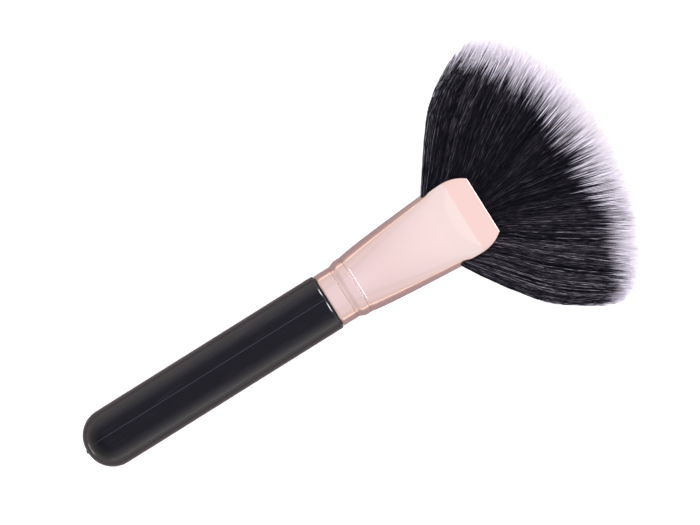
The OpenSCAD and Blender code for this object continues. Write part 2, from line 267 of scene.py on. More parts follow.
# the fibre's glints are painted: a paler colour mixed into the black, in dashes along the strands and
# more towards the fan's sides
fibreLook = {
    "black": "#05050c", "paintedSheen": "#8d8892", "pale": "#fff9fb", "violet": "#d1cadb",
    "roughness": 0.5, "gloss": 0.02, "ior": 1.5,
    "glint": 2.5,           # mm between the painted glints along a strand
    "glintFrom": 0.35, "glintTo": 0.75, "glintLow": 0.2, "glintHigh": 2.4,
    "violetTo": 0.6, "paleFrom": 0.5,       # how undyed the fibre is where these tones come in
    "clumpWear": 0.008, "strandSheen": 0.05, "sideSheen": 7.0, "sheenShares": (0.5, 1.5),
    "glintRows": 5000,      # each strand takes its own row of the glints' pattern, out of so many
}


def dyedFibre():
    # crimped synthetic fibre, dyed black with the tips left undyed: dull, with painted glints, paler
    # dashes mixed into the black's colour
    look = fibreLook
    material, tree = newMaterial("twoToneSyntheticFibre")
    tone, paintedSheen, along, strand = [
        addNode(tree, "ShaderNodeAttribute", attribute_name=name).outputs["Fac"]
        for name in ("undyed", "paintedGlintShare", "along", "strand")]
    place = addNode(tree, "ShaderNodeCombineXYZ", {"X": along, "Y": strand}).outputs["Vector"]
    crimp = addNode(tree, "ShaderNodeTexNoise", {"Vector": place}, noise_dimensions="2D",
                    Scale=1 / look["glint"], Detail=1.0).outputs["Fac"]
    # painted highlights: the black is paled in dashes along each strand, as far as the sheen painted on
    # its rings
    glint = addNode(tree, "ShaderNodeMapRange", {"Value": crimp},
                    From_Min=look["glintFrom"], From_Max=look["glintTo"],
                    To_Min=look["glintLow"], To_Max=look["glintHigh"]).outputs["Result"]
    paintedGlintShare = addNode(tree, "ShaderNodeMath", {0: glint, 1: paintedSheen},
                    operation="MULTIPLY", use_clamp=True).outputs["Value"]
    dark = addNode(tree, "ShaderNodeMix", {"Factor": paintedGlintShare},
                   {fromColour: srgb(look["black"]), toColour: srgb(look["paintedSheen"])}, data_type="RGBA")
    # the dye's end is violet, paling towards the tip
    faded = addNode(tree, "ShaderNodeMapRange", {"Value": tone}, From_Min=look["paleFrom"])
    pale = addNode(tree, "ShaderNodeMix", {"Factor": faded.outputs["Result"]},
                   {fromColour: srgb(look["violet"]), toColour: srgb(look["pale"])}, data_type="RGBA")
    undyed = addNode(tree, "ShaderNodeMapRange", {"Value": tone}, From_Max=look["violetTo"])
    colour = addNode(tree, "ShaderNodeMix",
                     {"Factor": undyed.outputs["Result"], fromColour: dark.outputs[mixed],
                      toColour: pale.outputs[mixed]}, data_type="RGBA")
    shader = addNode(tree, "ShaderNodeBsdfPrincipled", {"Base Color": colour.outputs[mixed]},
                     Roughness=look["roughness"], IOR=look["ior"], Specular_IOR_Level=look["gloss"])
    finishMaterial(tree, shader)
    return material


epoxyLook = {"ior": 1.55, "bubbleStrength": 0.3, "bubbleDepth": 0.05}
# grain is the size of the bubbles in mm
adhesiveLook = {"name": "neckEpoxy", "colour": "#efe4c8", "darker": "#dccba6",
                "grain": 0.8, "roughness": 0.45}
plugLook = {"name": "rootEpoxy", "colour": "#d9c9a0", "darker": "#c2ab78",
            "grain": 1.2, "roughness": 0.3}


def castEpoxy(look):
    # epoxy, cast round the roots or squeezed round the neck: amber, with small bubbles
    material, tree = newMaterial(look["name"])
    place = addNode(tree, "ShaderNodeTexCoord").outputs["Object"]
    bubbles = addNode(tree, "ShaderNodeTexNoise", {"Vector": place},
                      Scale=scaleFor(look["grain"]), Detail=3.0).outputs["Fac"]
    colour = addNode(tree, "ShaderNodeMix", {"Factor": bubbles},
                     {fromColour: srgb(look["colour"]), toColour: srgb(look["darker"])},
                     data_type="RGBA").outputs[mixed]
    bump = addNode(tree, "ShaderNodeBump", {"Height": bubbles},
                   Strength=epoxyLook["bubbleStrength"], Distance=epoxyLook["bubbleDepth"] * mm)
    shader = addNode(tree, "ShaderNodeBsdfPrincipled",
                     {"Base Color": colour, "Normal": bump.outputs["Normal"]},
                     Roughness=look["roughness"], IOR=epoxyLook["ior"])
    finishMaterial(tree, shader)
    return material


threadLook = {
    "colour": "#6f6759", "pale": "#a79d88", "roughness": 0.7,
    "turnGap": 1.5708,      # mm between the turns of thread, drawn coarser than its 0.25 mm
    "turnDepth": 0.1, "turnStrength": 0.6, "unevenness": 0.4,
}
bandGap = 2 * math.pi / 20                  # a Wave node's bands are this far apart at a scale of 1


def bindingThread():
    # waxed cotton thread wound round the knot: dull, ridged by its turns
    look = threadLook
    material, tree = newMaterial("waxedBindingThread")
    place = addNode(tree, "ShaderNodeTexCoord").outputs["Object"]
    turns = addNode(tree, "ShaderNodeTexWave", {"Vector": place}, bands_direction="X",
                    Scale=bandGap * scaleFor(look["turnGap"]),
                    Distortion=look["unevenness"]).outputs["Fac"]
    colour = addNode(tree, "ShaderNodeMix", {"Factor": turns},
                     {fromColour: srgb(look["colour"]), toColour: srgb(look["pale"])},
                     data_type="RGBA").outputs[mixed]
    bump = addNode(tree, "ShaderNodeBump", {"Height": turns},
                   Strength=look["turnStrength"], Distance=look["turnDepth"] * mm)
    shader = addNode(tree, "ShaderNodeBsdfPrincipled",
                     {"Base Color": colour, "Normal": bump.outputs["Normal"]},
                     Roughness=look["roughness"])
    finishMaterial(tree, shader)
    return material


recoat("handle", blackAbs())
recoat("neck_adhesive", castEpoxy(adhesiveLook))
recoat("root_plug", castEpoxy(plugLook))
recoat("root_binding", bindingThread())
print("materials done")


# ferrule: one drawn tube, swaged at the tail, creased, pressed flat, its sides cut away

ferruleSizes = {
    "start": tailGap, "length": 49.2, "wall": 0.45,
    "tailRadius": 7.87, "bandRadius": 8.58, "bandRise": (4.7, 7.0),
    "creases": ((4.74, 0.12, 0.05), (8.72, 0.12, 0.05), (9.4, 0.05, 0.055)),    # place, depth, width
    "bodyStart": 9.0, "cutX": 36.3, "cutHalfWidth": 11.13, "cutHalfHeight": 5.0,
    "domeEnd": 39.6, "lipX": 42.8, "lipHalfHeight": 4.3, "mouthHalfHeight": 3.9,
    "mouthHalfWidth": 11.38, "tongueX": 42.2, "tongueRadius": 10.86, "tongueStretch": 2.0,
    "rollWidth": 0.32, "rollDrop": 0.2,     # the mouth's edge is rolled in a little
    "notchRadius": 0.6, "lipSquareness": 7.0, "flarePower": 0.72, "pressPower": 0.9,
    "edgeTilt": 56.8, "openWidth": 12.4, "openEnd": 40.0,
    "faceRoundShare": 0.624, "wallRoundShare": 0.652,       # how far the section bulges at its corners
}
# where the face's edge lies along the body: share of the length, of the half width, of the height
edgeShares = [(-1.0, 0.815, 0.579), (0.0, 0.797, 0.603), (0.12, 0.804, 0.588), (0.35, 0.822, 0.61),
              (0.7, 0.85, 0.65), (1.0, 0.875, 0.67)]
facePoints, wallPoints = 60, 40             # points of a section's two curves
faceColumns, sideColumns = 72, 18
rowGap, leastRowGap = 0.25, 0.02            # mm between a tongue's rows, least mm between the rings
weldGap = 0.002                             # mm, closer points become one
edgeTurn = math.radians(13.3)               # how far from the side the face's columns end
edgeCos = math.cos(edgeTurn)


def creaseDip(x):
    return sum(depth * math.exp(-((x - place) / width) ** 2)
               for place, depth, width in ferruleSizes["creases"])


@lru_cache(maxsize=None)
def sectionAt(x):
    # a quarter of the tube's section, from the middle of the face round to the side
    s = ferruleSizes
    dip = creaseDip(x)
    if x < s["bodyStart"]:
        rise = smooth((x - s["bandRise"][0]) / (s["bandRise"][1] - s["bandRise"][0]))
        width = height = lerp(s["tailRadius"], s["bandRadius"], rise)
        share = rise - 1
    else:
        share = (x - s["bodyStart"]) / (s["cutX"] - s["bodyStart"])
        inside = min(share, 1.0)
        width = lerp(s["bandRadius"], s["cutHalfWidth"], inside ** s["flarePower"])
        height = lerp(s["bandRadius"], s["cutHalfHeight"], inside ** s["pressPower"])
        if share > 1:
            opening = smooth((x - s["cutX"]) / (s["openEnd"] - s["cutX"]))
            width = lerp(width, s["openWidth"], opening)
    width, height = width - dip, height - dip
    places, across, up = zip(*edgeShares)
    edge = Vector((width * np.interp(share, places, across), height * np.interp(share, places, up)))
    lean = math.tan(math.radians(s["edgeTilt"]))
    faceCorner = Vector((edge.x - (height - edge.y) / lean, height))
    wallCorner = Vector((width, edge.y - (width - edge.x) * lean))
    top, side = Vector((0, height)), Vector((width, 0))
    face = interpolate_bezier(top, top.lerp(faceCorner, s["faceRoundShare"]),
                              edge.lerp(faceCorner, s["faceRoundShare"]), edge, facePoints)
    wall = interpolate_bezier(edge, edge.lerp(wallCorner, s["wallRoundShare"]),
                              side.lerp(wallCorner, s["wallRoundShare"]), side, wallPoints)
    points = np.array([p[:] for p in face + wall[1:]])
    return points[:, 0], points[:, 1]


def heightAt(x, y):
    across, up = sectionAt(x)
    return float(np.interp(abs(y), across, up))


def lipHeight(x, y):
    s = ferruleSizes
    share = max((x - s["lipX"]) / (s["length"] - s["lipX"]), 0)
    height = lerp(s["lipHalfHeight"], s["mouthHalfHeight"], share)
    height *= max(1 - (abs(y) / s["mouthHalfWidth"]) ** s["lipSquareness"], 0) \
        ** (1 / s["lipSquareness"])
    rolled = max(1 - (s["length"] - x) / s["rollWidth"], 0)
    return height - s["rollDrop"] * rolled ** 2


def faceHeight(x, y):
    # height of a tongue's face: domed, then a ramp down to the lip that is pressed flat
    s = ferruleSizes
    if x > s["lipX"]:
        return lipHeight(x, y)
    dome = heightAt(x, y)
    if x <= s["domeEnd"]:
        return dome
    share = (x - s["domeEnd"]) / (s["lipX"] - s["domeEnd"])
    lip = lipHeight(x, y)
    if dome > lip:
        return max(min(dome, lerp(s["cutHalfHeight"], s["lipHalfHeight"], share)), lip)
    return lerp(dome, lip, smooth(share))


def tongueEdges():
    # outline of a tongue from the side cut to the mouth, as places and half widths
    s = ferruleSizes
    radius, reach = s["tongueRadius"], s["tongueStretch"] * s["tongueRadius"]
    notchX = s["cutX"] + s["notchRadius"]
    notchTurn = -math.asin((s["tongueX"] - notchX) / reach)
    notchY = radius * math.cos(notchTurn) + s["notchRadius"]
    rows = []
    for turn in (30, 50, 70, 90):           # round the notch's corner
        a = math.radians(turn)
        rows.append((notchX - s["notchRadius"] * math.cos(a), notchY - s["notchRadius"] * math.sin(a)))
    for i in range(1, 9):                   # up the tongue's ellipse, by turn
        a = notchTurn * (1 - i / 13)
        rows.append((s["tongueX"] + reach * math.sin(a), radius * math.cos(a)))
    x = rows[-1][0] + rowGap
    while x < s["tongueX"]:                 # where it grows flat, by length
        rows.append((x, radius * math.cos(math.asin((x - s["tongueX"]) / reach))))
        x += rowGap
    # past its widest place it is a circle, with close rows where the lip starts and at the rolled edge
    last = s["length"] - s["tongueX"]
    shares = [0.0, 0.035, 0.07, 0.082, 0.09, 0.1] + [0.1 + 0.85 * i / 18 for i in range(1, 19)]
    for share in shares + [0.96, 0.967, 0.974, 0.981, 0.988, 0.994, 1.0]:
        rows.append((s["tongueX"] + last * share, math.sqrt(radius ** 2 - (last * share) ** 2)))
    return rows


def closedRows():
    # places of the rings behind the side cuts, close together at the creases
    s = ferruleSizes
    rows = [s["start"], 1.2, 2.4, 3.4, 4.0, 5.2, 5.5, 5.8, 6.1, 6.4, 6.8, 7.4, 7.9, 8.2, 10.0, 10.4,
            10.8, 11.4, 12.2]
    for place, _, width in s["creases"]:
        rows += [place + width * step / 2 for step in range(-5, 6)]
    rows += [13 + 0.9 * i for i in range(26)]
    rows = sorted(x for x in rows if x < s["cutX"])
    return [x for i, x in enumerate(rows) if i == 0 or x - rows[i - 1] > leastRowGap]


def ringPoint(x, column):
    # columns run over the upper face, down the far side, under the lower face and up again
    column = column % (2 * (faceColumns + sideColumns))
    if column >= faceColumns + sideColumns:
        y, z = ringPoint(x, column - faceColumns - sideColumns)[1:]
        return x, -y, -z
    across, up = sectionAt(x)
    if column <= faceColumns:
        turn = edgeTurn + (math.pi - 2 * edgeTurn) * column / faceColumns
        y = across[-1] * math.cos(turn)
        return x, y, heightAt(x, y)
    edge = heightAt(x, across[-1] * edgeCos)
    z = edge * math.cos(math.pi * (column - faceColumns) / sideColumns)
    return x, -float(np.interp(-abs(z), -up, across)), z


def tonguePoint(edges, row, column, side):
    # the first row of a tongue is the last ring of the closed part
    x, edge = edges[row]
    if row == 0:
        y, z = ringPoint(x, column)[1:]
        return x, side * y, side * z
    turn = edgeTurn + (math.pi - 2 * edgeTurn) * column / faceColumns
    y = edge * math.cos(turn) / edgeCos
    return x, side * y, side * faceHeight(x, y)


def gridCells(bm, rows, columns, place):
    # a grid whose points are moved to their places, by row and column
    grid = bmesh.ops.create_grid(bm, x_segments=rows, y_segments=columns, size=0.5)
    for v in grid["verts"]:
        row = round((v.co.x + 0.5) * rows)
        column = round((v.co.y + 0.5) * columns)
        v.co = fromShoulder(*place(row, column))


def buildFerrule(material):
    bm = bmesh.new()
    edges = tongueEdges()
    closed = closedRows() + [edges[0][0]]
    around = 2 * (faceColumns + sideColumns)
    gridCells(bm, len(closed) - 1, around, lambda row, column: ringPoint(closed[row], column))
    for side in (1, -1):
        gridCells(bm, len(edges) - 1, faceColumns,
                  lambda row, column: tonguePoint(edges, row, column, side))
    bmesh.ops.remove_doubles(bm, verts=bm.verts, dist=weldGap * mm)
    bmesh.ops.recalc_face_normals(bm, faces=bm.faces)
    piece = dressPiece("ferrule_tube", toMesh("ferrule_tube", bm), ["ferrule"],
                       material)
    wall = piece.modifiers.new("wall", "SOLIDIFY")
    wall.thickness = ferruleSizes["wall"] * mm
    wall.offset = -1.0
    wall.use_even_offset = True
    return piece


ferrule = buildFerrule(roseAnodised())
print("ferrule done")


# bristle pack: four layers of strands, each strand a closed three-sided taper

fanSizes = {
    "centreX": 31.5,        # mm from the shoulder to the point that the fibres spread from
    "rootX": 34.0, "rootHalfWidth": 7.2, "rootThickness": 5.4,
    "bendReach": 18.0, "bendAngle": 64.0, "midReach": 31.1, "midBulge": 6.4, "midAngle": 57.4,
    "bendEvenShare": 0.35, "midEvenShare": 0.5,     # how evenly the fibres fan out there
    "midTurnShare": 0.6, "midLeanShare": 0.8, "bendFlatShare": 0.4,
    "tipReach": 58.9, "tipAngle": 48.8, "tipTuck": 0.5, "lean": -1.5,
    "cornerDraw": 4.0, "lowerDrawShare": 0.6,       # how far the corners are drawn in
    "midThickness": 10.2, "tipThickness": 13.6, "sidePower": 1.35,
    "strandsInPiece": 4300, "clumps": 800, "looseShare": 0.35, "seed": 100,
    "clumpSpread": 0.24,    # mm round a clump's own path
    "clumpTurn": 0.9, "strandTurn": 0.25, "turnUntil": 0.93,        # degrees aside, not at the sides
    "heightScatter": 0.03, "edgeSpreadShare": 0.05, "heightSpreadShare": 0.6,
    "strandRadius": 0.062, "radiusShares": (0.75, 1.2), "taper": 9.0, "crimp": 0.05,
    "tipScatterPower": 1.1, "dyeClump": 0.95, "dyeClumpMost": 2.4, "dyeLeast": 1.5, "dyeFade": 1.7,
    "paleTip": 1.2,         # at least this much of a tip is undyed
    "shortShare": 0.16, "shortFrom": 0.9, "shortGap": 3.0, "shortTurn": (-0.8, 1.3),
    "shortPaleTip": 2.5, "shortFade": 0.4, "shortTaper": 1.5,
}
# where the black dye ends, in mm from the centre, by the fibre's direction in degrees
dyeLine = [(-49, 53.8), (-44, 53.8), (-40, 52.5), (-35, 50.3), (-30, 50.2), (-24, 51.5), (-16, 48.5),
           (-8, 47.1), (0, 47.5), (8, 46.9), (16, 48.2), (24, 48.5), (32, 49.1), (36, 50.0), (42, 49.8),
           (48, 49.5)]
# how unevenly it ends, by direction: share of the clumps' own scatter, mm either way for a strand
dyeScatter = [(-44, 1.2, 2.0), (-38, 1.3, 2.8), (-28, 1.2, 3.6), (-16, 1.0, 4.3), (20, 1.0, 4.3),
              (32, 1.3, 3.4)]
# how far the tips' reach scatters inwards, in mm, by direction
tipScatter = [(-49, 3.2), (-44, 3.6), (-38, 5.0), (-30, 7.5), (-24, 8.3)]
# how much longer the fibres are than an even sweep of the tips, in mm, by direction
reachLine = [(-49, -0.8), (-44, 0.9), (-35, 0.9), (-20, -0.4), (0, 0.0), (14, 0.4), (25, 1.6), (35, 1.9),
             (43, 1.8), (48, 0.8)]
# painted sheen on the black, by the place across the fan: paler towards its sides, where glints show
sheenLine = [(-1, 0.06), (-0.55, 0.05), (-0.25, 0.008), (0.1, 0.004), (0.6, 0.012), (1, 0.045)]
# where a strand's rings lie between its bend (1), its middle (2) and its tip (3), and how far they stray
middleRings = [(1.42, 0.1), (1.84, 0.1), (2.22, 0.05)]
# for its nine rings from root to tip: share of its place beside the clump's path, strength of the
# painted sheen
besideShares = [0, 0.6, 1, 1, 1, 0.9, 0.8, 0.8, 0.7]
ringSheen = [1, 1, 1, 1.3, 1.6, 1.8, 1.8, 1, 1]
innerPlace, bendRing = 0.55, 2              # the ring between root and bend, and the bend's own
lastDarkRing = 6                            # the next ring ends the dye, and the last one is the tip
darkFrom, darkTo, plainTo = 0.3, 0.97, 0.25     # where they may lie, by share of the way to the tip
beyondRoot, beyondTip = 0.3, 0.6            # how far the path's course is carried on past its ends
layerNames = ["bristles_bottom", "bristles_lower", "bristles_upper", "bristles_top"]
layerHalves = ["_strands", "_fill"]         # the first replaces its layer, the second makes it dense


def strandTemplate(rings):
    # one strand standing along X, a unit between its rings: closed root, tip drawn to a point
    bm = bmesh.new()
    bmesh.ops.create_circle(bm, cap_ends=True, segments=3, radius=1.0)
    bmesh.ops.rotate(bm, verts=bm.verts, cent=(0, 0, 0),
                     matrix=Matrix.Rotation(math.radians(90), 3, "Y"))
    face = bm.faces[:][0]
    for ring in range(1, rings):
        grown = bmesh.ops.extrude_face_region(bm, geom=[face], use_keep_orig=ring == 1)
        verts = [e for e in grown["geom"] if isinstance(e, bmesh.types.BMVert)]
        face = [e for e in grown["geom"] if isinstance(e, bmesh.types.BMFace)][0]
        bmesh.ops.translate(bm, verts=verts, vec=(1, 0, 0))
    bmesh.ops.pointmerge(bm, verts=list(face.verts), merge_co=(rings - 1, 0, 0))
    inner = [f for f in bm.faces if all(len(e.link_faces) > 2 for e in f.edges)]
    bmesh.ops.delete(bm, geom=inner, context="FACES_ONLY")
    bmesh.ops.recalc_face_normals(bm, faces=bm.faces)
    bmesh.ops.reverse_faces(bm, faces=bm.faces)     # a strand's side, up and course are left-handed
    bm.verts.index_update()
    points = np.array([v.co[:] for v in bm.verts])
    faces = [[v.index for v in f.verts] for f in bm.faces]
    bm.free()
    return points, faces


def spreadOf(u):
    return 1 - (1 - np.abs(u)) ** fanSizes["sidePower"]


def polar(reach, turn, z):
    turn = np.radians(turn)
    return np.stack([fanSizes["centreX"] + reach * np.cos(turn), reach * np.sin(turn), z], axis=-1)


def scatterStrands(rng, index):
    # one value for each strand: u across the fan, v through the pack, its turn, reaches and dye
    s = fanSizes
    count, clumps = s["strandsInPiece"], s["clumps"]
    clumpU = (np.arange(clumps) + rng.random(clumps)) / clumps * 2 - 1
    clumpV = (index + rng.random(clumps)) / len(layerNames) * 2 - 1
    clumpTurn = np.where(np.abs(clumpU) < s["turnUntil"], rng.normal(0, s["clumpTurn"], clumps), 0)
    clumpDye = np.clip(rng.normal(0, s["dyeClump"], clumps), -s["dyeClumpMost"], s["dyeClumpMost"])
    clumpSheenDraw = rng.random(clumps)

    clump = rng.integers(0, clumps, count)
    loose = rng.random(count) < s["looseShare"]
    u = np.where(loose, rng.uniform(-1, 1, count), clumpU[clump])
    v = np.clip(clumpV[clump] + rng.normal(0, s["heightScatter"], count), -1, 1)
    turn = np.where(loose, rng.normal(0, s["clumpTurn"], count),
                    clumpTurn[clump] + rng.normal(0, s["strandTurn"], count))
    turn = np.where(np.sign(turn) == np.sign(u), turn * (1 - np.abs(u) ** 6), turn)
    g = spreadOf(u)
    direction = np.sign(u) * s["tipAngle"] * g
    outer = s["tipReach"] + np.interp(direction, *zip(*reachLine)) \
        - np.where(u < 0, s["lowerDrawShare"], 1) * s["cornerDraw"] * g ** 6
    tipReach = outer - np.interp(direction, *zip(*tipScatter)) \
        * rng.random(count) ** s["tipScatterPower"]
    midReach = s["midReach"] + s["midBulge"] * g ** 3
    # some fibres at the sides are short, and their pale tips stand a little proud
    short = (np.abs(u) > s["shortFrom"]) & (rng.random(count) < s["shortShare"])
    tipReach = np.where(short, lerp(midReach + s["shortGap"], outer, rng.random(count)), tipReach)
    turn = np.where(short, np.sign(u) * rng.uniform(*s["shortTurn"], count), turn)
    where, clumpShare, strandDye = zip(*dyeScatter)
    dye = np.interp(direction, *zip(*dyeLine)) \
        + clumpDye[clump] * np.interp(direction, where, clumpShare) \
        + rng.uniform(-1, 1, count) * np.interp(direction, where, strandDye)
    dye = np.clip(dye, midReach + s["dyeLeast"],
                  tipReach - np.where(short, s["shortPaleTip"], s["paleTip"]))
    return SimpleNamespace(u=u, v=v, turn=turn, short=short, midReach=midReach, tipReach=tipReach,
                           fullReach=np.where(short, outer, tipReach), dye=dye,
                           clumpSheenDraw=clumpSheenDraw[clump])


def strandStations(strands):
    # root, bend, middle and tip of each strand's path, in mm from the shoulder
    s = fanSizes
    u, v = strands.u, strands.v
    g = spreadOf(u)
    side = np.sign(u)
    bendTurn = side * s["bendAngle"] * (s["bendEvenShare"] * g + (1 - s["bendEvenShare"]) * g ** 3)
    midTurn = side * s["midAngle"] * (s["midEvenShare"] * g + (1 - s["midEvenShare"]) * g ** 2) \
        + s["midTurnShare"] * strands.turn
    tipTurn = side * (s["tipAngle"] - s["tipTuck"] * g ** 4) * g + strands.turn
    root = np.stack([np.full(len(u), s["rootX"]), u * s["rootHalfWidth"],
                     v * s["rootThickness"] / 2], axis=-1)
    bend = polar(s["bendReach"], bendTurn + s["lean"],
                 v * s["rootThickness"] / 2 * (1 - s["bendFlatShare"] * g))
    mid = polar(strands.midReach, midTurn + s["midLeanShare"] * s["lean"], v * s["midThickness"] / 2)
    tip = polar(strands.fullReach, tipTurn + s["lean"], v * s["tipThickness"] / 2)
    return root, bend, mid, tip


def curveThrough(stations, share):
    # Catmull-Rom through four stations, with one more beyond each end; share runs from 0 to 3
    root, bend, mid, tip = stations
    before = root - (bend - root) * beyondRoot
    after = tip + (tip - mid) * beyondTip
    chain = [before, root, bend, mid, tip, after]
    out = np.zeros_like(root)
    for i in range(3):
        a, b, c, d = chain[i:i + 4]
        t = np.clip(share - i, 0, 1)[:, None]
        inside = ((share >= i) & (share <= i + 1))[:, None]
        value = 0.5 * (2 * b + (c - a) * t + (2 * a - 5 * b + 4 * c - d) * t ** 2
                       + (3 * b - a - 3 * c + d) * t ** 3)
        out = np.where(inside, value, out)
    return out


def ringPlaces(rng, strands):
    # where each strand's rings lie along its path, 0 to 3 by station: the dye fades out between the
    # two rings before the tip's
    s = fanSizes
    count = len(strands.u)
    places = [np.zeros(count), np.full(count, innerPlace), np.ones(count)]
    for place, stray in middleRings:
        places.append(place + rng.uniform(-stray, stray, count))
    span = strands.fullReach - strands.midReach
    end = (strands.tipReach - strands.midReach) / span
    fade = np.where(strands.short, s["shortFade"], s["dyeFade"])
    for reach in (strands.dye - fade, strands.dye + fade):
        places.append(2 + np.clip((reach - strands.midReach) / span, darkFrom * end, darkTo * end))
    places.append(2 + end)
    places[lastDarkRing - 1] = np.minimum(places[lastDarkRing - 1], 2 + plainTo * end)
    return np.stack(places, axis=1)


def strandRings(rng, strands, places):
    # the rings' centres in mm, and the directions aside and up at each
    s = fanSizes
    stations = strandStations(strands)
    centres = np.stack([curveThrough(stations, places[:, i]) for i in range(places.shape[1])], axis=1)
    # each strand keeps its own place beside the clump's path, drawn in again at the tip
    spread = np.array(besideShares) * s["clumpSpread"]
    beside = rng.normal(0, 1, (len(places), 2))
    crimp = rng.normal(0, s["crimp"], places.shape)
    crimp[:, :bendRing] = 0
    offset = beside[:, :1] * spread[None, :] + crimp
    ahead = np.gradient(centres, axis=1)
    ahead /= np.linalg.norm(ahead, axis=2, keepdims=True)
    side = np.cross(ahead, [0.0, 0.0, 1.0])
    side /= np.linalg.norm(side, axis=2, keepdims=True)
    up = np.cross(side, ahead)
    keep = (1 - np.abs(strands.u) ** 4)[:, None]
    centres = centres + side * (offset * lerp(s["edgeSpreadShare"], 1, keep))[:, :, None] \
        + up * beside[:, None, 1:2] * spread[None, :, None] * s["heightSpreadShare"]
    return centres, side, up


def strandSheen(rng, strands, shape):
    # painted glints: how far each ring's black is paled, a little by clump, more on a few strands and
    # towards the fan's sides
    look, count = fibreLook, len(strands.u)
    glint = look["clumpWear"] * strands.clumpSheenDraw ** 3 + look["strandSheen"] * rng.random(count) ** 7
    paintedSheen = np.interp(strands.u, *zip(*sheenLine)) * look["sideSheen"]
    paintedGlints = (glint + paintedSheen * rng.random(count) ** 6)[:, None] * rng.uniform(*look["sheenShares"], shape)
    paintedGlints *= np.array(ringSheen)
    return np.clip(paintedGlints, 0, 1)


def strandMesh(name, centres, radius, side, up, looks):
    # the template laid along every strand, with one number for each ring in each of its looks
    template, templateFaces = strandTemplate(centres.shape[1])
    ring = np.rint(template[:, 0]).astype(int)
    verts = centres[:, ring] + radius[:, ring, None] \
        * (template[None, :, 1, None] * side[:, ring] + template[None, :, 2, None] * up[:, ring])
    verts = verts.reshape(-1, 3) * mm + np.array([shoulderX, 0, axisZ])
    sizes = [len(f) for f in templateFaces]
    loops = np.concatenate(templateFaces)
    starts = np.concatenate([[0], np.cumsum(sizes)[:-1]])
    strand = np.arange(len(centres))[:, None]
    allLoops = (loops[None, :] + strand * len(template)).reshape(-1)
    allStarts = (starts[None, :] + strand * len(loops)).reshape(-1)
    mesh = bpy.data.meshes.new(name)
    mesh.vertices.add(len(verts))
    mesh.vertices.foreach_set("co", verts.astype(np.float32).reshape(-1))
    mesh.loops.add(len(allLoops))
    mesh.loops.foreach_set("vertex_index", allLoops.astype(np.int32))
    mesh.polygons.add(len(allStarts))
    mesh.polygons.foreach_set("loop_start", allStarts.astype(np.int32))
    for look, values in looks.items():
        data = mesh.attributes.new(look, "FLOAT", "POINT").data
        data.foreach_set("value", values[:, ring].astype(np.float32).reshape(-1))
    mesh.update(calc_edges=True)
    mesh.validate()
    return mesh


def buildLayer(index, half, material):
    s = fanSizes
    rng = np.random.default_rng(s["seed"] + 10 * index + half)
    strands = scatterStrands(rng, index)
    places = ringPlaces(rng, strands)
    centres, side, up = strandRings(rng, strands, places)
    thick = s["strandRadius"] * rng.uniform(*s["radiusShares"], len(places))
    reachHere = np.hypot(centres[:, :, 0] - s["centreX"], centres[:, :, 1])
    taper = np.where(strands.short, s["shortTaper"], s["taper"])[:, None]
    fromTip = np.clip((strands.tipReach[:, None] - reachHere) / taper, 0, 1)
    radius = thick[:, None] * np.sqrt(fromTip)
    radius[:, -1] = 0
    undyed = np.zeros_like(places)
    undyed[:, lastDarkRing + 1] = fibreLook["violetTo"]
    undyed[:, -1] = 1
    # painted glints for each ring, kept as an attribute for the fibre's material
    paintedGlintShare = strandSheen(rng, strands, places.shape)
    row = (rng.random(len(places)) * fibreLook["glintRows"])[:, None].repeat(places.shape[1], axis=1)
    name = layerNames[index] + layerHalves[half]
    mesh = strandMesh(name, centres, radius, side, up,
                      {"undyed": undyed, "paintedGlintShare": paintedGlintShare, "along": reachHere, "strand": row})
    return dressPiece(name, mesh, [layerNames[index]] if half == 0 else [], material)


fibre = dyedFibre()
fan = []
for index in range(len(layerNames)):
    for half in range(len(layerHalves)):
        fan.append(buildLayer(index, half, fibre))
print("bristles done")


# stage, light and camera

studio = {
    "floor": "#f7f7f7", "floorHalfWidth": 3.0, "lampDistance": 1.0,
    "behind": 0.36,         # how much darker the room is beyond the butt, above the table's level
    "behindX": (-0.25, -0.8), "aboveZ": (-0.12, 0.2),
    "lens": 100.0, "sensor": 36.0, "frameWidth": 190.0, "turn": 32.02, "aimX": 5.19, "aimY": 5.85,
}
# the tent's brightness by height of the direction (-1 down, 0 level, 1 up)
tent = [(-1.0, (0.44, 0.37, 0.39)), (-0.41, (0.44, 0.37, 0.39)), (-0.36, (0.86, 0.79, 0.72)),
        (-0.27, (0.84, 0.77, 0.72)), (-0.2, (0.8, 0.755, 0.72)), (0.0, (0.83, 0.79, 0.79)),
        (0.1, (0.8, 0.76, 0.77)), (0.29, (0.67, 0.64, 0.67)), (0.44, (0.55, 0.53, 0.56)),
        (0.56, (0.38, 0.365, 0.41)), (0.67, (0.24, 0.235, 0.28)), (0.76, (0.2, 0.195, 0.26)),
        (1.0, (0.2, 0.195, 0.26))]

bm = bmesh.new()
bmesh.ops.create_grid(bm, x_segments=1, y_segments=1, size=studio["floorHalfWidth"])
floor = addObject("floor", toMesh("floor", bm))
floor.visible_glossy = False
floor.visible_shadow = False
paper, tree = newMaterial("paperFloor")
finishMaterial(tree, addNode(tree, "ShaderNodeBsdfPrincipled", Roughness=0.9,
                             Base_Color=srgb(studio["floor"]), Specular_IOR_Level=0.1))
floor.data.materials.append(paper)

